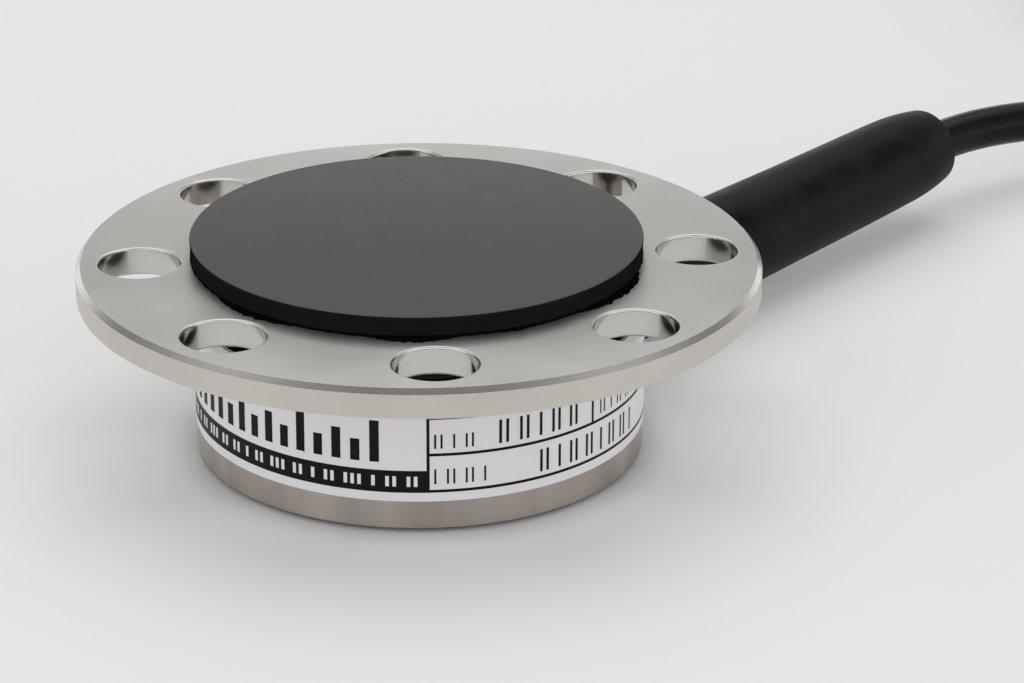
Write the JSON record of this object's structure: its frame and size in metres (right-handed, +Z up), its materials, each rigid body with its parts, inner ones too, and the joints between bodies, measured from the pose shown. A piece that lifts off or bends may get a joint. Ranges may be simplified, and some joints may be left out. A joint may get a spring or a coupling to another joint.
{
  "type": "flanged compression load cell",
  "caption": "Low round load cell: turned steel body under a bolted flange, rubber load pad on top, printed label round the side and a sleeved signal cable wound into a tied coil.",
  "frame": {"origin": "centre of the round base, on the surface that the cell stands on", "axes": "+Z up along the axis of the turned body, through the flange and pad; +X the way the cable leaves"},
  "size_m": [0.2659, 0.078, 0.0226],
  "materials": {
    "turned_stainless": "fine turned, satin",
    "cover_stainless": "faced, satin",
    "spigot_stainless": "turned",
    "fastener_steel": "bright",
    "pad_rubber": "matte, slightly dusty",
    "label_film": "printed film, satin",
    "seal_rubber": "smooth",
    "gauge_polyimide": "translucent film over etched foil",
    "lead_copper": "enamelled copper",
    "board_laminate": "solder mask",
    "resistor_ceramic": "glazed chip with tinned ends",
    "former_rubber": "moulded",
    "clamp_brass": "crimped",
    "sleeve_polyolefin": "satin, shrunk",
    "cable_pvc": "extruded, semi-gloss",
    "core_red_pvc": "extruded",
    "core_green_pvc": "extruded",
    "core_yellow_pvc": "extruded",
    "core_blue_pvc": "extruded",
    "drain_copper": "tinned strands",
    "tie_nylon": "moulded"
  },
  "bodies": {
    "root": {"sensing_body": "turned_stainless", "base_cover": "cover_stainless", "gland_spigot": "spigot_stainless", "cover_screws": "fastener_steel", "board_screw": "fastener_steel", "board_washer": "fastener_steel", "load_pad": "pad_rubber", "identification_label": "label_film", "cover_seal": "seal_rubber", "strain_gauge_1": "gauge_polyimide", "strain_gauge_2": "gauge_polyimide", "strain_gauge_3": "gauge_polyimide", "strain_gauge_4": "gauge_polyimide", "gauge_lead_1": "lead_copper", "gauge_lead_2": "lead_copper", "gauge_lead_3": "lead_copper", "gauge_lead_4": "lead_copper", "bridge_board": "board_laminate", "span_resistor": "resistor_ceramic", "zero_resistor": "resistor_ceramic", "thermal_resistor": "resistor_ceramic", "relief_former": "former_rubber", "cable_clamp": "clamp_brass", "heat_shrink_sleeve": "sleeve_polyolefin", "end_collar": "sleeve_polyolefin", "cable_tail": "cable_pvc", "cable_run": "cable_pvc", "cable_coil": "cable_pvc", "core_red": "core_red_pvc", "tail_red": "core_red_pvc", "core_green": "core_green_pvc", "tail_green": "core_green_pvc", "core_yellow": "core_yellow_pvc", "tail_yellow": "core_yellow_pvc", "core_blue": "core_blue_pvc", "tail_blue": "core_blue_pvc", "screen_drain": "drain_copper", "coil_tie": "tie_nylon"}
  },
  "joints": []
}
